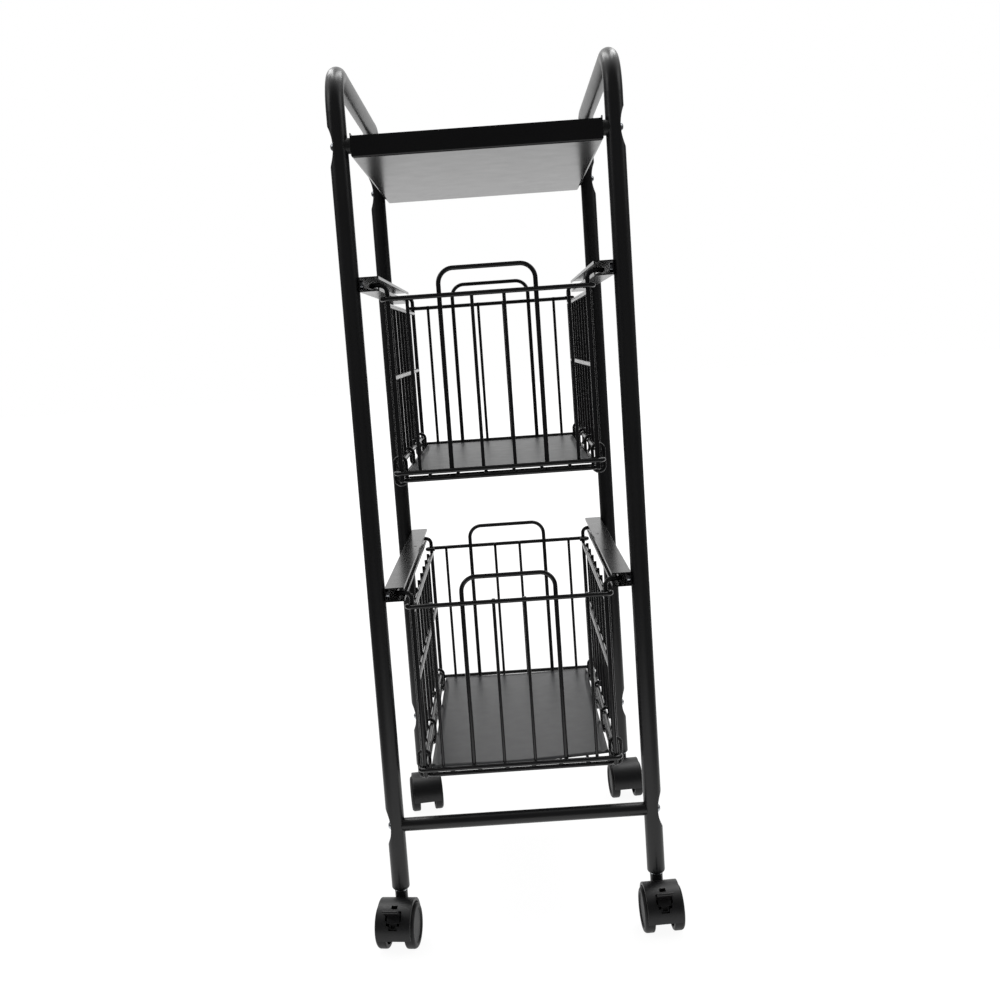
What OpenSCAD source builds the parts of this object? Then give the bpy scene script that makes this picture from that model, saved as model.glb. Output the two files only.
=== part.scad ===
// Slim rolling cart: two bent tube side frames, a tray on top and two wire baskets that
// slide on channel rails, on four twin wheel casters. The front faces -Y and z = 0 is the floor.

/* [Side frames] */
// Outside diameter of the leg tube
tube_d = 16; // [15:0.5:20]
// Wall of the leg tube
tube_wall = 1.2; // [0.8:0.1:1.5]
// Distance between the two side frames, centre to centre
frame_pitch_x = 231.5; // [215:0.5:280]
// Distance between the front and the rear legs, centre to centre
frame_pitch_y = 317.5; // [280:0.5:400]
// Height of the top of the handles above the floor
frame_top = 771.7; // [762:0.1:900]
// Height of the cut lower ends of the legs
leg_foot = 49.3; // [48.6:0.1:58]
// Radius of the two handle bends, at the centre of the tube
bend_r = 35; // [30:1:50]
// Depth of the pressed dent in which a bolt head sits
dent_depth = 4; // [2.5:0.1:4.5]
// Height of that dent on the tube
dent_len = 34; // [28:1:40]
// How far the legs stand behind the middle of the cart's outline
frame_set_back = 19.1; // [12:0.1:22]

/* [Top shelf] */
// Height of the underside of the tray
tray_z = 689.6; // [660:0.1:697]
// Length of the tray from front to back
tray_len = 330; // [300:1:360]
// Sheet thickness of the tray
tray_t = 1; // [0.8:0.1:1.5]
// Height of the side flanges, from the underside
side_flange_h = 20; // [18:0.5:26]
// Height of the front and rear flanges, from the underside
end_flange_h = 18; // [14:0.5:18]
// Outer radius of the bends of the sheet
sheet_bend = 2.5; // [1.6:0.1:3]
// Thickness of a saddle spacer where it is thinnest
spacer_t = 2.6; // [2:0.1:4]
// Diameter of a saddle spacer
spacer_d = 13; // [11:0.5:14]
// Height of the shelf bolts above the underside of the tray
shelf_bolt_up = 10.7; // [9:0.1:11]

/* [Crossbars] */
// Diameter of the two crossbars
bar_d = 12; // [11:0.5:14]
// Wall of a crossbar
bar_wall = 1; // [0.8:0.1:1.2]
// Height of the crossbars above the floor
bar_z = 106.2; // [90:0.1:122]
// Length of the threaded plug in each end of a crossbar
plug_len = 18; // [14:1:24]

/* [Bolts] */
// Diameter of the frame bolts
bolt_d = 5; // [4:0.5:5]
// Diameter of their domed heads
head_d = 8; // [7:0.5:9]
// Height of their domed heads
head_h = 3.2; // [2.6:0.1:3.6]
// How deep a bolt head sits in its round seat in the dent
head_seat = 0.3; // [0.2:0.05:0.6]
// Diameter of the rail screws
screw_d = 4; // [3:0.5:4]

/* [Rails] */
// Width of a rail across the cart
rail_w = 17; // [16:0.5:20]
// Height of a rail
rail_h = 12.4; // [12:0.1:14]
// Sheet thickness of a rail
rail_t = 1; // [0.8:0.1:1.2]
// Length of a rail
rail_len = 330; // [300:1:360]
// Height of the lip that the basket runs on, from the underside of the rail
rail_lip = 3; // [2.4:0.1:3.2]
// Height of the top of the upper rails
upper_rail_z = 591.8; // [560:0.1:607]
// Height of the top of the lower rails
lower_rail_z = 324.2; // [300:0.1:342]
// Distance of the two holes in a rail's top from the middle of the rail
rail_hole_y = 48; // [30:1:70]

/* [Baskets] */
// Diameter of the frame wires of a basket
wire_d = 4; // [3.5:0.1:4.2]
// Diameter of the thin wires of a basket
rod_d = 3; // [2:0.1:3]
// Depth of a basket over its front and back rims, centre to centre
basket_len = 302.2; // [270:0.1:320]
// Distance between the left and right posts of a basket
basket_w = 171; // [150:0.5:173]
// Radius of the hooks that the rims close round the posts
rim_hook_r = 4.7; // [4.1:0.1:5.2]
// How far the rims lie below the runners
rim_drop = 12.3; // [12:0.1:16]
// Distance between the upper and the lower rims
basket_h = 149.5; // [120:0.5:170]
// How far the floor frame lies below the lower rims
floor_drop = 6.9; // [6:0.1:9]
// How far the side panel's lowest wire lies above the lower rims
side_low_rise = 8.2; // [5:0.1:12]
// How far the side panel's top wire lies below the rims
side_top_drop = 5.4; // [4.6:0.1:8]
// Distance between the uprights of the front and back panels
upright_pitch = 27.6; // [22:0.1:28]
// How far a handle rises over its rim
handle_rise = 22.5; // [18:0.5:28]
// Radius of the bends of a handle
handle_r = 13; // [8:0.5:14]
// Number of thin wires in a side panel
side_rods = 8; // [6:1:11]
// Number of thin wires from front to back in a floor
floor_rods = 6; // [4:1:9]
// Number of rings that tie each long side of a floor to a side panel
floor_rings = 4; // [2:1:6]
// Radius of the corners of a floor frame
floor_r = 9; // [8:0.5:16]
// Thickness of the loose liner sheet
liner_t = 1; // [0.6:0.1:1.5]
// How far the liner's long edges lie inside the posts
liner_inset = 5.5; // [5:0.5:14]

/* [Casters] */
// Diameter of a wheel
wheel_d = 40; // [38:0.5:41]
// Width of a wheel
wheel_w = 9.4; // [8:0.1:11]
// Distance between the two wheels of a caster
wheel_gap_x = 17; // [14:0.5:20]
// Width of the hood between its rims
hood_w = 30.8; // [29:0.1:33]
// Outer radius of the hood
hood_r = 23.8; // [22.6:0.1:24]
// How far the axle stands in front of the stem
caster_lead = 18; // [15:0.5:19]
// Diameter of the stem
stem_d = 8; // [7:0.5:8.5]
// Diameter of the collar of the hood round the stem
collar_d = 11.3; // [10.5:0.1:13]
// Diameter of the axle
axle_d = 5; // [4:0.5:6]
// Height of the lower edge of the hood
hood_z = 16.4; // [13.5:0.1:17]
// Width of the tab of a brake lever
tab_w = 13.6; // [10:0.1:13.8]
// Width of the body of a brake lever
lever_w = 11.4; // [9:0.1:12]
// How far the tab sticks out of the lever's body
tab_len = 16; // [10:0.5:17]
// Slope of the tab above the horizontal
tab_slope = 37; // [30:1:45]
// How far the front left caster is turned about its stem
turn_fl = -8.3; // [-20:0.1:20]
// How far the front right caster is turned about its stem
turn_fr = 3.2; // [-20:0.1:20]
// How far the rear left caster is turned about its stem
turn_rl = 8.3; // [-20:0.1:20]
// How far the rear right caster is turned about its stem
turn_rr = 4.3; // [-20:0.1:20]

/* [Hidden] */
$fn = 48;

// Colours
powder_black = [0.09, 0.09, 0.095];
wire_black = [0.06, 0.06, 0.065];
plastic_black = [0.12, 0.12, 0.125];
liner_grey = [0.2, 0.2, 0.21];
zinc = [0.75, 0.76, 0.78];

// Clearances
touch = 0.05;
slip = 0.1;
loose = 0.3;
run = 0.05;
weld = 0.3;

// Places of the frame
leg_x = frame_pitch_x / 2;
front_leg_y = frame_set_back - frame_pitch_y / 2;
rear_leg_y = frame_set_back + frame_pitch_y / 2;
leg_ys = [front_leg_y, rear_leg_y];
run_z = frame_top - tube_d / 2;
leg_in = leg_x - tube_d / 2;
dent_r = (dent_len * dent_len / 4 + dent_depth * dent_depth) / (2 * dent_depth);
shelf_bolt_z = tray_z + shelf_bolt_up;
seat_x = leg_x + tube_d / 2 - dent_depth - head_seat;
tray_x = leg_in - spacer_t;
nut_d = 8;
nut_h = 3.6;
thread_past_nut = 1.5;
hex_d = 3;
hex_deep = 1.2;
bolt_short_of_plug = 3;
bar_bolt_len = seat_x - leg_in + plug_len - bolt_short_of_plug;

// Places of the rails and baskets
rail_out = leg_in - touch;
rail_in = rail_out - rail_w;
slot_top = 2.5;
rail_hole_d = 3.4;
rail_hole_x = 5;
rail_screw_head_h = 2.2;
driver_slot_w = 0.8;
basket_y = front_leg_y;
post_x = basket_w / 2;
post_front = basket_y + rim_hook_r;
post_back = basket_y + basket_len - rim_hook_r;
floor_front = post_front + wire_d / 2 + slip;
floor_back = post_back - wire_d / 2 - slip;
jog_r = 6;
runner_x = (rail_in + rail_out) / 2;
side_mid_share = 0.455;
rod_x = post_x + (wire_d + rod_d) / 2 - weld;
rod_poke = 3;
hook_tail = 4;
ring_slack = 1.4;
ring_lift = 0.35;
ring_end_gap = 1;
liner_end_gap = 0.5;

// Places of the casters: front left, front right, rear left, rear right
stem_at = [[-leg_x, front_leg_y], [leg_x, front_leg_y], [-leg_x, rear_leg_y], [leg_x, rear_leg_y]];
turn = [turn_fl, turn_fr, turn_rl, turn_rr];
axle_z = wheel_d / 2;
tread_gap = 1;
wheel_in = wheel_gap_x / 2;
web_w = wheel_gap_x - 2 * loose;
cap_h = 3;
washer_t = 1;
hood_top = leg_foot - cap_h - washer_t - 2 * touch;
stem_foot = axle_z + 4;
socket_len = 30;
socket_chamfer = 1;
stem_short_of_socket = 4;
washer_in = 0.25;
tread_round = 3;
face_dish = 1.4;
axle_short_of_face = 2.4;
hub_floor = 2.1;
hub_wall = 2.5;
disc_t = 3.6;
rim_wall = 3.5;

// Places on a brake lever: forward of the axle, and angles up from the front
pin_at = [11.5, 12];
pin_d = 3;
boss_w = lever_w - 4 * touch;
tab_root = [13.7, 15.75];
tab_t = 2.4;
body_low = 30;
lever_high = 52;
lever_in = 17;
lever_out = 23;
tongue_low = 16;
tongue_w = 7;
tongue_out = 22;
tongue_step = 0.3;
tongue_into = 4;
hole_low = 19;
hole_high = 27;
hole_w = 4.2;
hole_deep = 2.6;

// Pocket in the hood for the lever, with the hood's skin over its foot, and the window above it
pocket_in = 13.5;
pocket_low = 24;
pocket_over = 4;
foot_in = 14.1;
foot_low = 8;
foot_gap = 0.8;
skin_t = 1.4;
tab_slot_deep = 3.8;
tab_slot_angle = 18;
tab_slot_over = 3;
window_w = 5.4;
window_len = 3.8;
window_deep = 5;
window_tilt = 25;

// A straight round wire from p along one axis
module wire_along(axis, p, len, d) {
    translate(p)
        rotate(axis == "x" ? [0, 90, 0] : axis == "y" ? [-90, 0, 0] : [0, 0, 0])
            cylinder(d = d, h = len);
}

// A wire bend in the plane of its own x and y, about the origin
module bend(r, d, a0, a1) {
    rotate([0, 0, a0])
        rotate_extrude(angle = a1 - a0)
            translate([r, 0])
                circle(d = d);
}

// Tube path of one side frame, drawn at x = 0
module frame_path(d) {
    foot = leg_foot;
    top = run_z - bend_r;
    for (y = leg_ys)
        translate([0, y, foot])
            cylinder(d = d, h = top - foot);
    translate([0, front_leg_y + bend_r, top])
        rotate([0, -90, 0])
            bend(bend_r, d, 270, 360);
    translate([0, rear_leg_y - bend_r, top])
        rotate([0, -90, 0])
            bend(bend_r, d, 0, 90);
    wire_along("y", [0, front_leg_y + bend_r, run_z], frame_pitch_y - 2 * bend_r, d);
}

// Cutters for the dents on the outer side, for a frame on the right
module dents(extra) {
    for (y = leg_ys)
        for (z = [shelf_bolt_z, bar_z])
            translate([tube_d / 2 - dent_depth + dent_r, y - tube_d, z])
                rotate([-90, 0, 0])
                    cylinder(r = dent_r + extra, h = 2 * tube_d);
}

module frame_half() {
    difference() {
        frame_path(tube_d);
        dents(0);
        difference() {
            translate([0, 0, -1])
                frame_path(tube_d - 2 * tube_wall);
            dents(tube_wall);
        }
        for (y = leg_ys) {
            translate([0, y, leg_foot - 1])
                cylinder(d = tube_d - 2 * tube_wall, h = 4);
            for (z = [shelf_bolt_z, bar_z]) {
                wire_along("x", [-tube_d, y, z], 2 * tube_d, bolt_d + 2 * slip);
                wire_along("x", [seat_x - leg_x, y, z], tube_d, head_d + 1);
            }
            for (z = [upper_rail_z, lower_rail_z])
                wire_along("x", [-tube_d, y, z - rail_h / 2], tube_d, screw_d + 2 * slip);
        }
    }
}

module side_frame(side) {
    color(powder_black)
        translate([side * leg_x, 0, 0])
            if (side > 0) frame_half();
            else mirror([1, 0, 0]) frame_half();
}

// A block with two rounded lower edges, in its own x and y
module round_bottom(w, h, r) {
    translate([-w / 2, r])
        square([w, h - r]);
    translate([-w / 2 + r, 0])
        square([w - 2 * r, r + 1]);
    for (s = [-1, 1])
        translate([s * (w / 2 - r), r])
            circle(r = r);
}

module tray_block(inset, h) {
    w = 2 * (tray_x - inset);
    l = tray_len - 2 * inset;
    r = sheet_bend - inset;
    intersection() {
        rotate([90, 0, 0])
            linear_extrude(l, center = true)
                round_bottom(w, h, r);
        rotate([90, 0, 90])
            linear_extrude(w + 2, center = true)
                round_bottom(l, h, r);
    }
}

module top_shelf() {
    color(powder_black)
        translate([0, frame_set_back, tray_z])
            difference() {
                tray_block(0, side_flange_h);
                translate([0, 0, tray_t])
                    tray_block(tray_t, side_flange_h + 5);
                translate([-tray_x + tray_t, -tray_len, end_flange_h])
                    cube([2 * (tray_x - tray_t), 2 * tray_len, side_flange_h]);
                for (y = [-1, 1])
                    wire_along("x", [-tray_x - 1, y * frame_pitch_y / 2, shelf_bolt_up],
                        2 * tray_x + 2, bolt_d + 2 * slip);
            }
}

module shelf_spacers() {
    color(plastic_black)
        for (s = [-1, 1])
            for (y = leg_ys)
                translate([s * leg_x, y, shelf_bolt_z])
                    scale([s, 1, 1])
                        difference() {
                            wire_along("x", [touch - tube_d / 2 - spacer_t, 0, 0],
                                spacer_t + 3, spacer_d);
                            translate([0, 0, -spacer_d])
                                cylinder(d = tube_d + 2 * touch, h = 2 * spacer_d);
                            wire_along("x", [-tube_d, 0, 0], tube_d, bolt_d + 2 * slip);
                        }
}

// Domed bolt along -x with its seat at the origin
module dome_bolt(len) {
    r = (head_d * head_d / 4 + head_h * head_h) / (2 * head_h);
    rotate([0, 90, 0])
        difference() {
            rotate_extrude()
                intersection() {
                    translate([0, head_h - r])
                        circle(r = r);
                    translate([0, touch])
                        square([head_d / 2, head_h]);
                }
            translate([0, 0, head_h - hex_deep])
                cylinder(d = hex_d, h = 2 * hex_deep, $fn = 6);
        }
    wire_along("x", [-len, 0, 0], len + touch, bolt_d);
}

module frame_bolts(z, len) {
    color(zinc)
        for (s = [-1, 1])
            for (y = leg_ys)
                translate([s * seat_x, y, z])
                    scale([s, 1, 1])
                        dome_bolt(len);
}

module shelf_bolts() {
    frame_bolts(shelf_bolt_z, seat_x - tray_x + tray_t + nut_h + thread_past_nut);
}

module shelf_nuts() {
    color(zinc)
        for (s = [-1, 1])
            for (y = leg_ys)
                translate([s * (tray_x - tray_t - touch), y, shelf_bolt_z])
                    rotate([0, -90 * s, 0])
                        difference() {
                            cylinder(d = nut_d, h = nut_h, $fn = 6);
                            translate([0, 0, -1])
                                cylinder(d = bolt_d + 2 * slip, h = nut_h + 2);
                        }
}

module crossbar(y) {
    color(powder_black)
        translate([0, y, bar_z])
            difference() {
                wire_along("x", [-leg_x, 0, 0], 2 * leg_x, bar_d);
                wire_along("x", [-leg_x - 1, 0, 0], 2 * leg_x + 2, bar_d - 2 * bar_wall);
                for (s = [-1, 1])
                    translate([s * leg_x, 0, -bar_d])
                        cylinder(d = tube_d + 2 * touch, h = 2 * bar_d);
            }
}

module crossbar_plugs() {
    inner = bar_d - 2 * bar_wall - 2 * touch;
    color(zinc)
        for (s = [-1, 1])
            for (y = leg_ys)
                translate([s * leg_in, y, bar_z])
                    scale([s, 1, 1])
                        difference() {
                            wire_along("x", [-plug_len, 0, 0], plug_len - loose, inner);
                            wire_along("x", [-plug_len - 1, 0, 0], plug_len + 2,
                                bolt_d + 2 * slip);
                        }
}

module crossbar_bolts() {
    frame_bolts(bar_z, bar_bolt_len);
}

// Lipped channel, open towards the middle of the cart; the leg is on its +x side
module rail_half() {
    low = -rail_h;
    difference() {
        rotate([90, 0, 0])
            linear_extrude(rail_len, center = true)
                polygon([
                    [0, 0], [rail_w, 0], [rail_w, low], [0, low],
                    [0, low + rail_lip], [rail_t, low + rail_lip], [rail_t, low + rail_t],
                    [rail_w - rail_t, low + rail_t], [rail_w - rail_t, -rail_t],
                    [rail_t, -rail_t], [rail_t, -slot_top], [0, -slot_top]
                ]);
        for (s = [-1, 1]) {
            translate([rail_hole_x, s * rail_hole_y, -2 * rail_t])
                cylinder(d = rail_hole_d, h = 4 * rail_t);
            wire_along("x", [rail_w - 3 * rail_t, s * frame_pitch_y / 2, low / 2],
                5 * rail_t, screw_d + 2 * slip);
        }
    }
}

module rail(side, top) {
    color(powder_black)
        translate([side * rail_in, frame_set_back, top])
            if (side > 0) rail_half();
            else mirror([1, 0, 0]) rail_half();
}

module rail_screws() {
    head = 2 * screw_d;
    thick = rail_screw_head_h;
    web_x = rail_out - rail_t - touch;
    color(zinc)
        for (s = [-1, 1])
            for (y = leg_ys)
                for (z = [upper_rail_z, lower_rail_z])
                    translate([s * web_x, y, z - rail_h / 2])
                        scale([s, 1, 1])
                            difference() {
                                union() {
                                    wire_along("x", [-thick, 0, 0], thick, head);
                                    wire_along("x", [-1, 0, 0], tube_d / 2, screw_d);
                                }
                                translate([-thick - 1, 0, 0])
                                    for (a = [0, 90])
                                        rotate([a, 0, 0])
                                            translate([0, -head / 4, -driver_slot_w / 2])
                                                cube([2, head / 2, driver_slot_w]);
                            }
}

module leg_sockets() {
    inner = tube_d - 2 * tube_wall - 2 * touch;
    color(plastic_black)
        for (p = stem_at)
            translate([p[0], p[1], leg_foot - touch])
                difference() {
                    union() {
                        rotate_extrude()
                            polygon([
                                [0, 0], [inner / 2, 0], [inner / 2, socket_len - socket_chamfer],
                                [inner / 2 - socket_chamfer, socket_len], [0, socket_len]
                            ]);
                        translate([0, 0, -cap_h])
                            cylinder(d = tube_d - 2 * cap_h, h = cap_h);
                        rotate_extrude()
                            intersection() {
                                translate([tube_d / 2 - cap_h, 0])
                                    circle(r = cap_h);
                                translate([tube_d / 2 - cap_h, -cap_h])
                                    square(cap_h);
                            }
                    }
                    translate([0, 0, -cap_h - 1])
                        cylinder(d = stem_d + 2 * slip, h = socket_len + cap_h);
                }
}

module caster_stems() {
    top = leg_foot + socket_len - stem_short_of_socket;
    color(zinc)
        for (p = stem_at)
            translate([p[0], p[1], 0]) {
                translate([0, 0, stem_foot])
                    cylinder(d = stem_d, h = top - stem_foot);
                translate([0, 0, hood_top])
                    cylinder(d = collar_d - 2 * washer_in, h = washer_t);
            }
}

// Side panel of a basket, drawn on the right; z = 0 is the height of the runner
module side_half() {
    rim = -rim_drop;
    low = rim - basket_h;
    foot = low - floor_drop - wire_d / 2;
    side_top = rim - side_top_drop;
    side_low = low + side_low_rise;
    side_mid = side_top + side_mid_share * (side_low - side_top);
    flat = runner_x - post_x - 2 * jog_r;
    for (e = [0, 1]) {
        y = e == 0 ? post_front : post_back;
        inward = e == 0 ? 1 : -1;
        // Post with a rounded foot
        translate([post_x, y, foot + wire_d / 2])
            cylinder(d = wire_d, h = -jog_r - foot - wire_d / 2);
        translate([post_x, y, foot + wire_d / 2])
            sphere(d = wire_d);
        // Outward into the channel
        translate([post_x + jog_r, y, -jog_r])
            rotate([90, 0, 0])
                bend(jog_r, wire_d, 90, 180);
        wire_along("x", [post_x + jog_r, y, 0], flat, wire_d);
        translate([post_x + jog_r + flat, y + inward * jog_r, 0])
            if (e == 0) bend(jog_r, wire_d, 270, 360);
            else bend(jog_r, wire_d, 0, 90);
    }
    // Runner in the channel
    wire_along("y", [runner_x, post_front + jog_r, 0], post_back - post_front - 2 * jog_r, wire_d);
    // Three wires between the posts
    for (z = [side_top, side_mid, side_low])
        wire_along("y", [post_x, post_front, z], post_back - post_front, wire_d);
    // Thin wires outside them, half a step in from the posts
    step = (post_back - post_front) / side_rods;
    for (i = [0:side_rods - 1])
        translate([rod_x, post_front + (i + 0.5) * step, side_low - rod_poke])
            cylinder(d = rod_d, h = side_top - side_low + 2 * rod_poke);
}

module side_panel(side, rail_top) {
    color(wire_black)
        translate([0, 0, runner_z(rail_top)])
            if (side > 0) side_half();
            else mirror([1, 0, 0]) side_half();
}

function runner_z(rail_top) = rail_top - rail_h + rail_lip + loose + wire_d / 2;

// Rim with its ends hooked round the posts; the inside of the basket is towards +y
module rim_wire() {
    wire_along("x", [-post_x, 0, 0], 2 * post_x, wire_d);
    for (s = [-1, 1])
        translate([s * post_x, rim_hook_r, 0]) {
            bend(rim_hook_r, wire_d, s > 0 ? -90 : 90, s > 0 ? 90 : 270);
            wire_along("x", [s > 0 ? -hook_tail : 0, rim_hook_r, 0], hook_tail, wire_d);
        }
}

// Front or back panel; z = 0 is the height of the runner
module end_panel() {
    rim = -rim_drop;
    rod_y = (wire_d + rod_d) / 2 - weld;
    for (z = [rim, rim - basket_h])
        translate([0, 0, z])
            rim_wire();
    for (i = [-2.5, -0.5, 0.5, 2.5])
        translate([i * upright_pitch, rod_y, rim - basket_h - wire_d / 2])
            cylinder(d = rod_d, h = basket_h + wire_d);
}

// Handle: an upside down U whose legs run down to the lower rim
module end_handle() {
    half = 1.5 * upright_pitch;
    rim = -rim_drop;
    top = rim + handle_rise;
    foot = rim - basket_h - wire_d / 2;
    y = wire_d + touch;
    for (s = [-1, 1]) {
        translate([s * half, y, foot])
            cylinder(d = wire_d, h = top - handle_r - foot);
        translate([s * (half - handle_r), y, top - handle_r])
            rotate([90, 0, 0])
                bend(handle_r, wire_d, s > 0 ? 0 : 90, s > 0 ? 90 : 180);
    }
    wire_along("x", [handle_r - half, y, top], 2 * (half - handle_r), wire_d);
}

module at_front(rail_top) {
    color(wire_black)
        translate([0, basket_y, runner_z(rail_top)])
            children();
}

module at_back(rail_top) {
    color(wire_black)
        translate([0, basket_y + basket_len, runner_z(rail_top)])
            mirror([0, 1, 0])
                children();
}

// Ring that hangs on the side panel's lowest wire and carries the floor frame, drawn on the
// right at y = 0; each of the two wires lies in one of its bends
module floor_ring() {
    in = (wire_d + rod_d) / 2 + slip;
    r = in + ring_slack;
    high = floor_drop + side_low_rise - ring_lift;
    rotate([90, 0, 0])
        translate([post_x + ring_slack, 0]) {
            translate([0, ring_lift])
                bend(r, rod_d, 180, 360);
            translate([0, high])
                bend(r, rod_d, 0, 180);
            for (x = [-r, r])
                translate([x, ring_lift])
                    rotate([-90, 0, 0])
                        cylinder(d = rod_d, h = high - ring_lift);
        }
}

function floor_z(rail_top) = runner_z(rail_top) - rim_drop - basket_h - floor_drop;

function ring_y(i) = floor_front + floor_r + ring_end_gap
    + i * (floor_back - floor_front - 2 * floor_r - 2 * ring_end_gap) / (floor_rings - 1);

module basket_rings(rail_top) {
    color(wire_black)
        for (i = [0:floor_rings - 1])
            translate([0, ring_y(i), floor_z(rail_top)]) {
                floor_ring();
                mirror([1, 0, 0]) floor_ring();
            }
}

module basket_floor(rail_top) {
    y0 = floor_front;
    y1 = floor_back;
    over = (wire_d + rod_d) / 2 - weld;
    rod_step = 2 * post_x / (floor_rods + 1);
    color(wire_black)
        translate([0, 0, floor_z(rail_top)]) {
            for (s = [-1, 1])
                wire_along("y", [s * post_x, y0 + floor_r, 0], y1 - y0 - 2 * floor_r, wire_d);
            for (y = [y0, y1])
                wire_along("x", [floor_r - post_x, y, 0], 2 * (post_x - floor_r), wire_d);
            for (c = [[1, y1 - floor_r, 0], [-1, y1 - floor_r, 90],
                      [-1, y0 + floor_r, 180], [1, y0 + floor_r, 270]])
                translate([c[0] * (post_x - floor_r), c[1], 0])
                    bend(floor_r, wire_d, c[2], c[2] + 90);
            for (i = [1:floor_rods])
                wire_along("y", [i * rod_step - post_x, y0, over], y1 - y0, rod_d);
            // A cross wire beside each pair of rings, on the side towards the middle
            for (i = [0:floor_rings - 1]) {
                inward = 2 * i < floor_rings ? 1 : -1;
                wire_along("x", [-post_x, ring_y(i) + inward * (rod_d + slip), over - rod_d + weld],
                    2 * post_x, rod_d);
            }
        }
}

module basket_liner(rail_top) {
    z = floor_z(rail_top) + wire_d / 2 + rod_d - weld + touch;
    x = post_x - liner_inset;
    y0 = post_front + wire_d / 2 + liner_end_gap;
    y1 = post_back - wire_d / 2 - liner_end_gap;
    color(liner_grey)
        translate([-x, y0, z])
            cube([2 * x, y1 - y0, liner_t]);
}

module at_caster(i) {
    translate([stem_at[i][0], stem_at[i][1], 0])
        rotate([0, 0, turn[i]])
            translate([0, -caster_lead, axle_z])
                children();
}

// A sector about the axle, between two radii and two angles up from the front
module sector(r0, r1, a0, a1, w) {
    rotate([0, -90, 0])
        rotate([0, 0, a0 - 90])
            rotate_extrude(angle = a1 - a0)
                translate([r0, -w / 2])
                    square([r1 - r0, w]);
}

// The axis of a brake lever; its children are drawn along x
module at_pin() {
    translate([0, -pin_at[0], pin_at[1]])
        children();
}

// Wedge of a ring in its own x and y, between two radii and two angles
module wedge(r0, r1, a0, a1) {
    far = 2 * r1;
    intersection() {
        difference() {
            circle(r = r1);
            circle(r = r0);
        }
        polygon([[0, 0], [far * cos(a0), far * sin(a0)], [far * cos(a1), far * sin(a1)]]);
    }
}

// Slot for the foot of the lever: open above the foot's low end, and behind the skin below it
module foot_slot() {
    w = tongue_w + 2 * loose;
    up = pocket_low + tongue_into;
    rotate([90, 0, -90])
        linear_extrude(w, center = true) {
            wedge(foot_in, hood_r + 1, tongue_low - foot_gap, up);
            wedge(foot_in, hood_r - skin_t, foot_low, up);
        }
}

module hood(i, brake) {
    cavity = axle_z + tread_gap;
    out = hood_w / 2;
    pocket = lever_w + 2 * loose;
    color(plastic_black)
        at_caster(i)
            difference() {
                union() {
                    wire_along("x", [-out, 0, 0], hood_w, 2 * hood_r);
                    translate([0, caster_lead, 0])
                        cylinder(d = collar_d, h = hood_top - touch - axle_z);
                }
                for (s = [-1, 1])
                    wire_along("x", [s > 0 ? web_w / 2 : -out - 1, 0, 0], out + 1 - web_w / 2,
                        2 * cavity);
                translate([-hood_w, -2 * hood_r, -2 * hood_r])
                    cube([2 * hood_w, 4 * hood_r, 2 * hood_r - axle_z + hood_z]);
                wire_along("x", [-web_w, 0, 0], 2 * web_w, axle_d + 2 * touch);
                translate([0, caster_lead, stem_foot - axle_z - loose])
                    cylinder(d = stem_d + 2 * run, h = 2 * hood_r);
                if (brake) {
                    sector(pocket_in, hood_r + 2, pocket_low, lever_high + pocket_over, pocket);
                    foot_slot();
                    sector(hood_r - tab_slot_deep, hood_r + 2, lever_high - tab_slot_angle,
                        lever_high + tab_slot_over, tab_w + 2 * loose);
                    at_pin() {
                        wire_along("x", [-web_w, 0, 0], 2 * web_w, pin_d + 2 * run);
                        wire_along("x", [-boss_w / 2 - loose, 0, 0], boss_w + 2 * loose,
                            2 * pin_d + 2 * loose);
                    }
                    rotate([window_tilt, 0, 0])
                        translate([-window_w / 2, -window_len / 2, hood_r - window_deep])
                            cube([window_w, window_len, window_deep + 2]);
                }
            }
}

// Side view of the tab from its root, with a round end
module tab_profile() {
    translate([0, -tab_t / 2])
        square([tab_len, tab_t]);
    translate([tab_len, 0])
        circle(d = tab_t);
}

module brake(i) {
    color(plastic_black)
        at_caster(i) {
            difference() {
                union() {
                    sector(lever_in, lever_out, body_low, lever_high, lever_w);
                    sector(lever_in + tongue_step, tongue_out, tongue_low, body_low + tongue_into,
                        tongue_w);
                    at_pin() {
                        wire_along("x", [-boss_w / 2, 0, 0], boss_w, 2 * pin_d);
                        wire_along("x", [touch - web_w / 2, 0, 0], web_w - 2 * touch, pin_d);
                    }
                    translate([0, -tab_root[0], tab_root[1]])
                        rotate([-tab_slope, 0, 0])
                            rotate([90, 0, -90])
                                linear_extrude(tab_w, center = true)
                                    tab_profile();
                }
                sector(tongue_out - hole_deep, lever_out + 1, hole_low, hole_high, hole_w);
            }
        }
}

module axle(i) {
    half = wheel_in + wheel_w - axle_short_of_face;
    color(zinc)
        at_caster(i)
            wire_along("x", [-half, 0, 0], 2 * half, axle_d);
}

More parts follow.
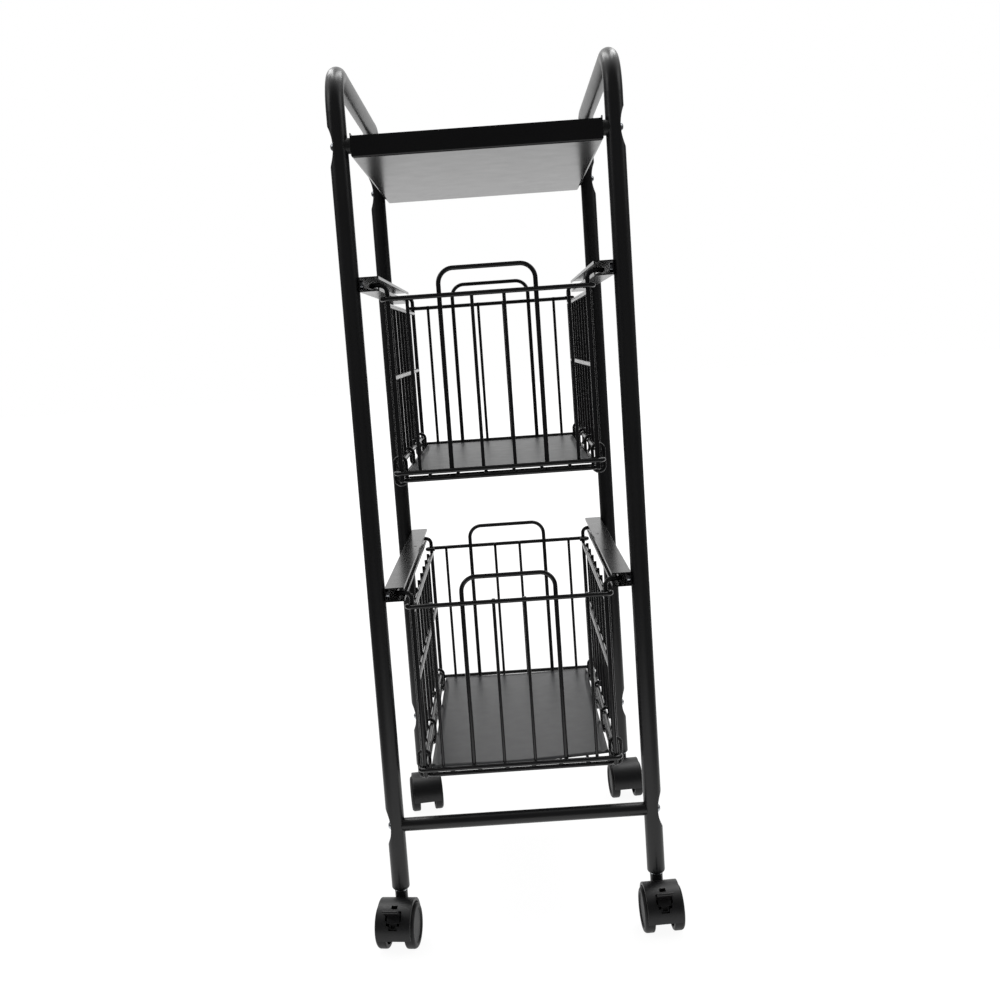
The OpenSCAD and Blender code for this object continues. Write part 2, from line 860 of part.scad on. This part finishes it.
// Wheel on the right of the axle's middle: rounded tread, domed disc, blind hub
module wheel_half() {
    r = wheel_d / 2;
    out = wheel_in + wheel_w;
    rotate([0, 90, 0])
        difference() {
            union() {
                translate([0, 0, wheel_in + tread_round / 2])
                    cylinder(r = r, h = wheel_w - 1.5 * tread_round);
                translate([0, 0, wheel_in])
                    cylinder(r = r - tread_round / 2, h = wheel_w - face_dish);
                for (e = [[wheel_in, tread_round / 2, 0], [out, tread_round, 1]])
                    translate([0, 0, e[0]])
                        mirror([0, 0, e[2]])
                            rotate_extrude()
                                intersection() {
                                    translate([r - e[1], e[1]])
                                        circle(r = e[1]);
                                    square([r, e[1]]);
                                }
            }
            translate([0, 0, wheel_in - 1])
                cylinder(d = axle_d + 2 * run, h = wheel_w + 1 - hub_floor);
            translate([0, 0, wheel_in - 1])
                difference() {
                    cylinder(r = r - rim_wall, h = wheel_w + 1 - disc_t);
                    cylinder(d = axle_d + 2 * hub_wall, h = wheel_w);
                }
        }
}

module wheel(i, side) {
    color(plastic_black)
        at_caster(i)
            if (side > 0) wheel_half();
            else mirror([1, 0, 0]) wheel_half();
}

side_frame(-1);  // side_frame_left
side_frame(1);  // side_frame_right
top_shelf();
shelf_spacers();
shelf_bolts();
shelf_nuts();
crossbar(front_leg_y);  // front_crossbar
crossbar(rear_leg_y);  // rear_crossbar
crossbar_plugs();
crossbar_bolts();
rail(-1, upper_rail_z);  // rail_upper_left
rail(1, upper_rail_z);  // rail_upper_right
rail(-1, lower_rail_z);  // rail_lower_left
rail(1, lower_rail_z);  // rail_lower_right
rail_screws();
leg_sockets();
caster_stems();
side_panel(-1, upper_rail_z);  // upper_side_left
side_panel(1, upper_rail_z);  // upper_side_right
at_front(upper_rail_z) end_panel();  // upper_front
at_back(upper_rail_z) end_panel();  // upper_back
at_front(upper_rail_z) end_handle();  // upper_front_handle
at_back(upper_rail_z) end_handle();  // upper_back_handle
basket_floor(upper_rail_z);  // upper_floor
basket_rings(upper_rail_z);  // upper_rings
basket_liner(upper_rail_z);  // upper_liner
side_panel(-1, lower_rail_z);  // lower_side_left
side_panel(1, lower_rail_z);  // lower_side_right
at_front(lower_rail_z) end_panel();  // lower_front
at_back(lower_rail_z) end_panel();  // lower_back
at_front(lower_rail_z) end_handle();  // lower_front_handle
at_back(lower_rail_z) end_handle();  // lower_back_handle
basket_floor(lower_rail_z);  // lower_floor
basket_rings(lower_rail_z);  // lower_rings
basket_liner(lower_rail_z);  // lower_liner
hood(0, true);  // hood_fl
axle(0);  // axle_fl
wheel(0, -1);  // wheel_fl_left
wheel(0, 1);  // wheel_fl_right
brake(0);  // brake_fl
hood(1, true);  // hood_fr
axle(1);  // axle_fr
wheel(1, -1);  // wheel_fr_left
wheel(1, 1);  // wheel_fr_right
brake(1);  // brake_fr
hood(2, false);  // hood_rl
axle(2);  // axle_rl
wheel(2, -1);  // wheel_rl_left
wheel(2, 1);  // wheel_rl_right
hood(3, false);  // hood_rr
axle(3);  // axle_rr
wheel(3, -1);  // wheel_rr_left
wheel(3, 1);  // wheel_rr_right
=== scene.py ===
import math
import bmesh
import bpy
from mathutils import Matrix, Vector


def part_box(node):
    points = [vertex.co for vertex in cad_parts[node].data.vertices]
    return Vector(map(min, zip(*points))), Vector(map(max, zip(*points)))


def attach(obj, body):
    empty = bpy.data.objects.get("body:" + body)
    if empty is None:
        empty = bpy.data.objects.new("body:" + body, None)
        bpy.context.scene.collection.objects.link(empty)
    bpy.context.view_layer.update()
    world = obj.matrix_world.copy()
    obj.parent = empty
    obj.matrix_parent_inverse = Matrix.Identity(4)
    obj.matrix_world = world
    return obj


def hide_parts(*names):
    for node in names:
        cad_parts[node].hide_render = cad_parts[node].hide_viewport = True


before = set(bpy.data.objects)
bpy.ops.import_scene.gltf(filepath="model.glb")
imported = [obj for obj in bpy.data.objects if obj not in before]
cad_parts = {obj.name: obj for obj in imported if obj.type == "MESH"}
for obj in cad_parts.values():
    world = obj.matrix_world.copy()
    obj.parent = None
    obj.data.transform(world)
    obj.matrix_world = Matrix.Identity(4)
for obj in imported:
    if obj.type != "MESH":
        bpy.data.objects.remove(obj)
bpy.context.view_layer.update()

# Side frames: two 16 mm steel tubes, each bent into an upside down U and pressed flat where a
# bolt passes. They are sprayed with powder and baked, which leaves a satin skin with a faint
# orange peel that blurs reflections a little and turns bright only at a grazing angle.
MM = 0.001


def linear(hex_colour):
    """sRGB hex to the linear colour that a shader socket holds."""
    parts = [int(hex_colour[i:i + 2], 16) / 255 for i in (1, 3, 5)]
    return tuple(c / 12.92 if c <= 0.04045 else ((c + 0.055) / 1.055) ** 2.4 for c in parts) + (1,)


def add(tree, kind, settings=None, *inputs, **named):
    """One node with its settings; sockets or numbers go into its inputs in order or by name."""
    made = tree.nodes.new(kind)
    for name, value in (settings or {}).items():
        if hasattr(made, name):
            setattr(made, name, value)
        else:
            made.inputs[name].default_value = value
    for index, what in enumerate(inputs):
        if isinstance(what, (int, float)):
            made.inputs[index].default_value = what
        else:
            tree.links.new(what, made.inputs[index])
    for name, socket in named.items():
        tree.links.new(socket, made.inputs[name.replace("_", " ")])
    return made


def finish_material(name, **settings):
    """A new material, its node tree, its shader, and object coordinates for its patterns."""
    made = bpy.data.materials.new(name)
    made.use_nodes = True
    tree = made.node_tree
    shader = tree.nodes["Principled BSDF"]
    for socket, value in settings.items():
        shader.inputs[socket.replace("_", " ")].default_value = value
    return made, tree, shader, add(tree, "ShaderNodeTexCoord").outputs["Object"]


def per_mm(size_mm):
    """Texture scale at which a noise pattern has features about size_mm wide."""
    return 1 / (size_mm * MM)


def two_tones(tree, shader, place, low, high, size_mm):
    """Slow drift of the base colour between two tones."""
    drift = add(tree, "ShaderNodeTexNoise", {"Scale": per_mm(size_mm), "Detail": 3.0}, Vector=place)
    tones = add(tree, "ShaderNodeValToRGB", Fac=drift.outputs["Fac"])
    tones.color_ramp.elements[0].color = linear(low)
    tones.color_ramp.elements[1].color = linear(high)
    tree.links.new(tones.outputs["Color"], shader.inputs["Base Color"])


def uneven_gloss(tree, shader, place, rough, size_mm):
    """Roughness that varies over the surface between the two values in rough."""
    low, high = rough
    patches = add(tree, "ShaderNodeTexNoise", {"Scale": per_mm(size_mm), "Detail": 4.0}, Vector=place)
    span = add(tree, "ShaderNodeMapRange", {"To Min": low, "To Max": high}, Value=patches.outputs["Fac"])
    tree.links.new(span.outputs["Result"], shader.inputs["Roughness"])


def relief(tree, shader, height, depth_mm, strength, edge_mm):
    """Bump of a real depth from a height pattern, over edges rounded by edge_mm."""
    edge = add(tree, "ShaderNodeBevel", {"samples": 4, "Radius": edge_mm * MM})
    bump = add(tree, "ShaderNodeBump", {"Strength": strength, "Distance": depth_mm * MM},
               Height=height, Normal=edge.outputs["Normal"])
    tree.links.new(bump.outputs["Normal"], shader.inputs["Normal"])


def powder_coat(name, low, high, peel_mm, peel_depth_mm, rough):
    """Baked polyester powder on steel."""
    made, tree, shader, place = finish_material(name, IOR=1.46)
    two_tones(tree, shader, place, low, high, size_mm=60)
    uneven_gloss(tree, shader, place, rough, size_mm=18)
    peel = add(tree, "ShaderNodeTexNoise", {"Scale": per_mm(peel_mm), "Detail": 2.0}, Vector=place)
    relief(tree, shader, peel.outputs["Fac"], peel_depth_mm, strength=0.5, edge_mm=0.3)
    return made


def dress(node, material):
    """Gives a CAD node its one material."""
    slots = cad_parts[node].data.materials
    slots.clear()
    slots.append(material)


tube_coat = powder_coat("satin_powder_coat_on_tube", "#131314", "#19191a",
                        peel_mm=1.6, peel_depth_mm=0.012, rough=(0.28, 0.34))
for side in ("left", "right"):
    dress(f"side_frame_{side}", tube_coat)

# Top tray: 1 mm steel sheet folded up on four sides. The same powder lies flatter on a sheet
# than on a tube, so the underside mirrors the pale surround almost evenly at a low angle.
sheet_coat = powder_coat("satin_powder_coat_on_sheet", "#0b0b0c", "#111112",
                         peel_mm=1.2, peel_depth_mm=0.01, rough=(0.2, 0.26))
dress("top_shelf", sheet_coat)

# Saddle spacers and leg sockets: injection moulded nylon. The mould's spark eroded face gives a
# fine matt grain, so they look a shade drier than the coated steel beside them. The grain is
# drawn at half a millimetre, several times its real size, so that it shows.


def moulded_nylon(name, low, high, grain_mm, grain_depth_mm, rough, mirror=0.5):
    """Black nylon. A mirror below 0.5 stands for light that is lost in a coarse grain."""
    made, tree, shader, place = finish_material(name, IOR=1.53, Specular_IOR_Level=mirror)
    two_tones(tree, shader, place, low, high, size_mm=22)
    uneven_gloss(tree, shader, place, rough, size_mm=7)
    grain = add(tree, "ShaderNodeTexNoise", {"Scale": per_mm(grain_mm), "Detail": 3.0}, Vector=place)
    relief(tree, shader, grain.outputs["Fac"], grain_depth_mm, strength=0.6, edge_mm=0.4)
    return made


fitting_nylon = moulded_nylon("moulded_nylon_fittings", "#101011", "#161617",
                              grain_mm=0.5, grain_depth_mm=0.02, rough=(0.42, 0.52))
for node in ("shelf_spacers", "leg_sockets"):
    dress(node, fitting_nylon)

# Bolts, nuts, plugs, screws and caster stems: cold headed or turned steel with a bright zinc
# plate. The plate mirrors the room, blurred by fine lines that a tool or die left in the steel.


def zinc_plate(name):
    """Bright zinc. Three wave bands fit in 0.6 mm, so the tool lines lie about 0.2 mm apart."""
    made, tree, shader, place = finish_material(name, Metallic=1.0)
    two_tones(tree, shader, place, "#a9adb1", "#c3c6ca", size_mm=3)
    uneven_gloss(tree, shader, place, rough=(0.2, 0.34), size_mm=1.5)
    lines = add(tree, "ShaderNodeTexWave", {"Scale": per_mm(0.6), "Distortion": 2.0}, Vector=place)
    relief(tree, shader, lines.outputs["Fac"], depth_mm=0.006, strength=0.3, edge_mm=0.15)
    return made


plated = zinc_plate("bright_zinc_plate_on_steel")
for node in ("shelf_bolts", "shelf_nuts", "crossbar_plugs", "crossbar_bolts", "rail_screws",
             "caster_stems"):
    dress(node, plated)

# Crossbars: two 12 mm steel tubes near the feet, whose ends are cut to fit round the legs. A bolt
# through each leg draws them up. They have the same coat as the side frames.
for end in ("front", "rear"):
    dress(f"{end}_crossbar", tube_coat)

# Rails: four roll formed steel channels with punched holes, screwed to the legs. They are
# coated flat like the tray, so their tops shade from dark to pale along their length.
for level in ("upper", "lower"):
    for side in ("left", "right"):
        dress(f"rail_{level}_{side}", sheet_coat)

# Basket wires: drawn steel wire, resistance welded, then coated. The powder flows round on
# so thin a wire and cures glossy, which draws a hard thin highlight along each one.
WIRE_PARTS = ("side_left", "side_right", "front", "back", "front_handle", "back_handle",
              "floor", "rings")


def wire_coat(name):
    """Glossy powder that sagged a little before it set."""
    made, tree, shader, place = finish_material(name, IOR=1.5)
    two_tones(tree, shader, place, "#0f0f10", "#161617", size_mm=40)
    uneven_gloss(tree, shader, place, rough=(0.14, 0.24), size_mm=9)
    sag = add(tree, "ShaderNodeTexNoise", {"Scale": per_mm(6), "Detail": 1.0}, Vector=place)
    relief(tree, shader, sag.outputs["Fac"], depth_mm=0.012, strength=0.4, edge_mm=0.2)
    return made


glossy_wire = wire_coat("gloss_powder_coat_on_wire")
for level in ("upper", "lower"):
    for part in WIRE_PARTS:
        dress(f"{level}_{part}", glossy_wire)

# Welds: where two wires cross, the joint is pressed and fused between electrodes, and a small
# collar of steel is squeezed out round it. The coat closes over it as a soft rounded bead.
WIRE_MM, ROD_MM = 4.0, 3.0
FUSED_MM = 0.3
UPRIGHTS, UPRIGHT_PITCH_MM = 6, 27.6
SIDE_RODS, FLOOR_RODS = 8, 6
# Heights of a side panel's wires: the end panels' rim below the runner, the top wire below that
# rim, the lowest wire above the end panels' lowest, and the middle wire's share of the way down.
RIM_DROP_MM, TOP_DROP_MM, LOW_RISE_MM, MIDDLE_SHARE = 12.3, 5.4, 8.2, 0.455
BEAD_WIDE_MM, BEAD_FLAT_MM = 2.1, 0.9
ACROSS, ALONG, UP = 0, 1, 2


def make_piece(name, mesh, material):
    """Object of one material from a bmesh, which is used up."""
    data = bpy.data.meshes.new(name)
    mesh.to_mesh(data)
    mesh.free()
    data.materials.append(material)
    made = bpy.data.objects.new(name, data)
    bpy.context.scene.collection.objects.link(made)
    return made


def bead(mesh, x, y, z, flat_axis):
    """Lens of squeezed out steel at a crossing, thin along the line between the two wires."""
    radii = [BEAD_WIDE_MM * MM] * 3
    radii[flat_axis] = BEAD_FLAT_MM * MM
    shape = Matrix.Translation((x, y, z)) @ Matrix.Diagonal((*radii, 1))
    bmesh.ops.create_icosphere(mesh, subdivisions=2, radius=1, matrix=shape)


def weld_basket(level):
    """Beads on both end panels, then on both side panels, then under the floor's rods."""
    mesh = bmesh.new()
    wire_r = WIRE_MM / 2 * MM
    contact = (WIRE_MM - FUSED_MM) / 2 * MM
    for end, inward in (("front", 1), ("back", -1)):
        low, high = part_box(f"{level}_{end}")
        rim_y = low.y + wire_r if end == "front" else high.y - wire_r
        for z in (high.z - wire_r, low.z + wire_r):
            for i in range(UPRIGHTS):
                x = (i - (UPRIGHTS - 1) / 2) * UPRIGHT_PITCH_MM * MM
                bead(mesh, x, rim_y + inward * contact, z, ALONG)
    end_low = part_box(f"{level}_front")[0]
    for side, outward in (("left", -1), ("right", 1)):
        low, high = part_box(f"{level}_side_{side}")
        post_x = high.x - wire_r if side == "left" else low.x + wire_r
        front, back = low.y + wire_r, high.y - wire_r
        rim = high.z - wire_r - RIM_DROP_MM * MM
        top = rim - TOP_DROP_MM * MM
        bottom = end_low.z + wire_r + LOW_RISE_MM * MM
        for z in (top, top + MIDDLE_SHARE * (bottom - top), bottom):
            for i in range(SIDE_RODS):
                y = front + (i + 0.5) * (back - front) / SIDE_RODS
                bead(mesh, post_x + outward * contact, y, z, ACROSS)
    floor_low, floor_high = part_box(f"{level}_floor")
    post_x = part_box(f"{level}_side_right")[0].x + wire_r
    floor_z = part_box(f"{level}_liner")[0].z - (ROD_MM + WIRE_MM / 2 - FUSED_MM) * MM
    for y in (floor_low.y + wire_r, floor_high.y - wire_r):
        for i in range(1, FLOOR_RODS + 1):
            bead(mesh, 2 * i * post_x / (FLOOR_RODS + 1) - post_x, y, floor_z + contact, UP)
    welds = make_piece(f"{level}_welds", mesh, glossy_wire)
    for face in welds.data.polygons:
        face.use_smooth = True
    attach(welds, f"{level}_basket")


for level in ("upper", "lower"):
    weld_basket(level)

# Liners: 1 mm polypropylene sheets laid loose on the floor wires. The rolled sheet has a fine
# matt face, dark from above and pale at a low angle, and it bows up a little at its edges. Its
# grain is drawn at 0.9 mm, several times its real size, so that it shows.
CELLS_ACROSS, CELLS_ALONG = 24, 40
SIDE_SHARE, END_SHARE = 0.6, 0.4


def rolled_polypropylene(name):
    """Sheet with the fine grain of the rollers."""
    made, tree, shader, place = finish_material(name, IOR=1.49)
    two_tones(tree, shader, place, "#28292a", "#303133", size_mm=45)
    uneven_gloss(tree, shader, place, rough=(0.34, 0.44), size_mm=12)
    grain = add(tree, "ShaderNodeTexNoise", {"Scale": per_mm(0.9), "Detail": 3.0}, Vector=place)
    relief(tree, shader, grain.outputs["Fac"], depth_mm=0.03, strength=0.5, edge_mm=0.2)
    return made


liner_face = rolled_polypropylene("rolled_polypropylene_sheet")


def bowed_liner(level, rise_mm, twist_mm):
    """CAD liner's sheet with corners that rise by rise_mm, and the front right one by twist_mm more."""
    low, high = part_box(f"{level}_liner")
    mesh = bmesh.new()
    centre = (low + high) / 2
    half = (high - low) / 2
    rows = [[], []]
    for layer, z in enumerate((low.z, high.z)):
        for j in range(CELLS_ALONG + 1):
            for i in range(CELLS_ACROSS + 1):
                u, v = 2 * i / CELLS_ACROSS - 1, 2 * j / CELLS_ALONG - 1
                bow = rise_mm * (u * u * SIDE_SHARE + v * v * END_SHARE)
                lift = bow + twist_mm * max(0, u) * max(0, -v)
                spot = (centre.x + u * half.x, centre.y + v * half.y, z + lift * MM)
                rows[layer].append(mesh.verts.new(spot))
    width = CELLS_ACROSS + 1
    for layer in (0, 1):
        for j in range(CELLS_ALONG):
            for i in range(CELLS_ACROSS):
                a = j * width + i
                quad = [rows[layer][k] for k in (a, a + 1, a + width + 1, a + width)]
                mesh.faces.new(quad if layer else quad[::-1])
    front_edge = list(range(width))
    right_edge = [j * width + CELLS_ACROSS for j in range(1, CELLS_ALONG + 1)]
    back_edge = [CELLS_ALONG * width + i for i in range(CELLS_ACROSS - 1, -1, -1)]
    left_edge = [j * width for j in range(CELLS_ALONG - 1, 0, -1)]
    rim = front_edge + right_edge + back_edge + left_edge
    for a, b in zip(rim, rim[1:] + rim[:1]):
        mesh.faces.new((rows[0][a], rows[0][b], rows[1][b], rows[1][a]))
    sheet = make_piece(f"{level}_liner_sheet", mesh, liner_face)
    for face in sheet.data.polygons:
        face.use_smooth = abs(face.normal.z) > 0.5
    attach(sheet, f"{level}_basket")
    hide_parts(f"{level}_liner")


bowed_liner("upper", rise_mm=1.0, twist_mm=1.0)
bowed_liner("lower", rise_mm=2.0, twist_mm=2.5)

# Casters: moulded nylon hoods over twin nylon wheels on a steel axle. Hoods have a fine matt
# grain. The wheels are darker and drier, and mirror the pale surround less.
hood_nylon = moulded_nylon("moulded_nylon_hood", "#0e0e0f", "#151517",
                           grain_mm=0.6, grain_depth_mm=0.03, rough=(0.38, 0.48), mirror=0.4)
wheel_nylon = moulded_nylon("moulded_nylon_wheel", "#0c0c0d", "#121213",
                            grain_mm=0.5, grain_depth_mm=0.02, rough=(0.46, 0.56), mirror=0.25)
for corner in ("fl", "fr", "rl", "rr"):
    dress(f"hood_{corner}", hood_nylon)
    dress(f"axle_{corner}", plated)
    for side in ("left", "right"):
        dress(f"wheel_{corner}_{side}", wheel_nylon)
    if corner.startswith("f"):
        dress(f"brake_{corner}", hood_nylon)

# Floor: a matt white paper sweep that keeps the cart's shadow. Gloss mirrors it white inside a
# fan that opens FAN_START metres in front of the cart's middle. The fan is as wide as what the
# photograph shows: FAN_SLOPE metres to a side for each metre of depth, faded out at FAN_FADE.
FAN_START, FAN_SLOPE, FAN_FADE = 1.17, 0.42, 0.6
DIM_SIDE = 0.1
FLOOR_SIDE, FLOOR_FRONT, FLOOR_BACK = 8, -0.8, 14
GLOW_NEAR, GLOW_FAR = 1.08, 1.25
GLOW_NEAR_M, GLOW_FAR_M = 0.6, 2.0
# To the camera GLOW_SHARE of the floor glows, and the rest is lit paper that carries the shadow.
GLOW_SHARE = 0.86


def mirrored_rays(tree, path):
    """1 for rays that metal or glass sends on, and 0 for all others."""
    return add(tree, "ShaderNodeMath", {"operation": "MAXIMUM"}, path.outputs["Is Glossy Ray"],
               path.outputs["Is Transmission Ray"]).outputs[0]


paper, tree, shader, place = finish_material(
    "matt_white_paper_sweep", Base_Color=linear("#f6f6f6"), Roughness=0.9, Specular_IOR_Level=0.0)
away = add(tree, "ShaderNodeVectorMath", {"operation": "LENGTH"}, Vector=place)
glow = add(tree, "ShaderNodeMapRange", {"From Min": GLOW_NEAR_M, "From Max": GLOW_FAR_M,
                                        "To Min": GLOW_NEAR, "To Max": GLOW_FAR},
           Value=away.outputs["Value"])
spot = add(tree, "ShaderNodeSeparateXYZ", Vector=place)
depth = add(tree, "ShaderNodeMath", {"operation": "ADD"}, spot.outputs["Y"], FAN_START)
aside = add(tree, "ShaderNodeMath", {"operation": "ABSOLUTE"}, spot.outputs["X"])
slope = add(tree, "ShaderNodeMath", {"operation": "DIVIDE"}, aside.outputs[0], depth.outputs[0])
fan = add(tree, "ShaderNodeMapRange", {"From Min": FAN_SLOPE, "From Max": FAN_FADE, "To Min": 1.0,
                                       "To Max": DIM_SIDE}, slope.outputs[0])
path = add(tree, "ShaderNodeLightPath")
by_camera = path.outputs["Is Camera Ray"]
glow_seen = add(tree, "ShaderNodeMath", {"operation": "MULTIPLY"}, glow.outputs[0], by_camera)
white = add(tree, "ShaderNodeMath", {"operation": "MAXIMUM"}, fan.outputs[0], glow_seen.outputs[0])
seen_white = add(tree, "ShaderNodeEmission", {"Color": (1, 1, 1, 1)}, Strength=white.outputs[0])
camera_share = add(tree, "ShaderNodeMath", {"operation": "MULTIPLY"}, by_camera, GLOW_SHARE)
share = add(tree, "ShaderNodeMath", {"operation": "MAXIMUM"}, camera_share.outputs[0],
            mirrored_rays(tree, path))
mix = add(tree, "ShaderNodeMixShader", None, share.outputs[0], shader.outputs["BSDF"],
          seen_white.outputs["Emission"])
tree.links.new(mix.outputs["Shader"], tree.nodes["Material Output"].inputs["Surface"])

floor_mesh = bmesh.new()
floor_mesh.faces.new([floor_mesh.verts.new((x, y, 0)) for x, y in (
    (-FLOOR_SIDE, FLOOR_FRONT), (FLOOR_SIDE, FLOOR_FRONT),
    (FLOOR_SIDE, FLOOR_BACK), (-FLOOR_SIDE, FLOOR_BACK))])
make_piece("studio_floor", floor_mesh, paper)

# Surround: white to the camera, and a little less to matt surfaces. Gloss sees it white above
# and over the same fan behind the cart, dim beside the cart and darker still in front of it,
# as in a studio whose other walls are left unlit.
DIM_FRONT, MATT_LEVEL = 0.04, 0.75
BEHIND_FROM, BEHIND_FULL = -0.5, 0.15
ABOVE_FROM, ABOVE_FULL = 0.25, 0.7

world = bpy.data.worlds.new("studio_surround")
bpy.context.scene.world = world
world.use_nodes = True
tree = world.node_tree
background = tree.nodes["Background"]
background.inputs["Color"].default_value = (1, 1, 1, 1)
way = add(tree, "ShaderNodeSeparateXYZ", None, add(tree, "ShaderNodeTexCoord").outputs["Generated"])
behind = add(tree, "ShaderNodeMapRange", {"From Min": BEHIND_FROM, "From Max": BEHIND_FULL,
                                          "To Min": DIM_FRONT}, way.outputs["Y"])
aside = add(tree, "ShaderNodeMath", {"operation": "ABSOLUTE"}, way.outputs["X"])
beside = add(tree, "ShaderNodeMapRange", {"From Min": FAN_SLOPE, "From Max": FAN_FADE, "To Min": 1.0,
                                          "To Max": DIM_SIDE}, aside.outputs[0])
above = add(tree, "ShaderNodeMapRange", {"From Min": ABOVE_FROM, "From Max": ABOVE_FULL},
            way.outputs["Z"])
wide = add(tree, "ShaderNodeMath", {"operation": "MAXIMUM"}, beside.outputs[0], above.outputs[0])
studio = add(tree, "ShaderNodeMath", {"operation": "MULTIPLY"}, wide.outputs[0], behind.outputs[0])
path = add(tree, "ShaderNodeLightPath")
in_gloss = add(tree, "ShaderNodeMath", {"operation": "MULTIPLY"}, studio.outputs[0],
               mirrored_rays(tree, path))
on_matt = add(tree, "ShaderNodeMath", {"operation": "MULTIPLY"}, path.outputs["Is Diffuse Ray"],
              MATT_LEVEL)
strongest = add(tree, "ShaderNodeMath", {"operation": "MAXIMUM"}, in_gloss.outputs[0], on_matt.outputs[0])
strength = add(tree, "ShaderNodeMath", {"operation": "MAXIMUM"}, strongest.outputs[0],
               path.outputs["Is Camera Ray"])
tree.links.new(strength.outputs[0], background.inputs["Strength"])

# Lamps: two long overhead strips behind the cart, which light the tops of the tubes, and a
# weak softbox on each side. Places and sizes are in metres, and power is in watts.
CART_MIDDLE = (0, 0, 0.4)


def soft_lamp(name, spot, aim, wide, long, watts):
    """Rectangular lamp aimed at a point."""
    data = bpy.data.lights.new(name, "AREA")
    data.shape = "RECTANGLE"
    data.size = wide
    data.size_y = long
    data.energy = watts
    lamp = bpy.data.objects.new(name, data)
    bpy.context.scene.collection.objects.link(lamp)
    lamp.location = spot
    lamp.rotation_euler = (Vector(aim) - Vector(spot)).to_track_quat("-Z", "Y").to_euler()


for side, x in (("left", -0.62), ("right", 0.62)):
    soft_lamp(f"overhead_{side}_strip", spot=(x, 0.8, 2.4), aim=(x / 3, 0, 0.4),
              wide=0.5, long=1.8, watts=16)
soft_lamp("left_softbox", spot=(-1.9, -0.5, 1.6), aim=CART_MIDDLE, wide=1.0, long=1.0, watts=5)
soft_lamp("right_softbox", spot=(1.9, -0.4, 1.5), aim=CART_MIDDLE, wide=1.0, long=1.0, watts=4)

# Camera: its place, turn, tilt, roll and lens were solved from the photograph's own straight
# lines, in the cart's frame. Angles are in radians.
CAMERA_MM = Vector((8.3, -1165.6, 529.4))
YAW, PITCH, ROLL = -0.0098, 0.1311, 0.0700
LENS_MM, SENSOR_MM = 42.93, 36

forward = Vector((math.sin(YAW) * math.cos(PITCH), math.cos(YAW) * math.cos(PITCH), -math.sin(PITCH)))
level_right = Vector((math.cos(YAW), -math.sin(YAW), 0))
level_down = forward.cross(level_right)
right = math.cos(ROLL) * level_right + math.sin(ROLL) * level_down
down = math.cos(ROLL) * level_down - math.sin(ROLL) * level_right
camera_data = bpy.data.cameras.new("photo_camera")
camera_data.lens = LENS_MM
camera_data.sensor_width = SENSOR_MM
camera_data.clip_end = 100
camera = bpy.data.objects.new("photo_camera", camera_data)
bpy.context.scene.collection.objects.link(camera)
turn = Matrix((right, -down, -forward)).transposed().to_4x4()
camera.matrix_world = Matrix.Translation(CAMERA_MM * MM) @ turn
bpy.context.scene.camera = camera
bpy.context.scene.view_settings.view_transform = "Standard"
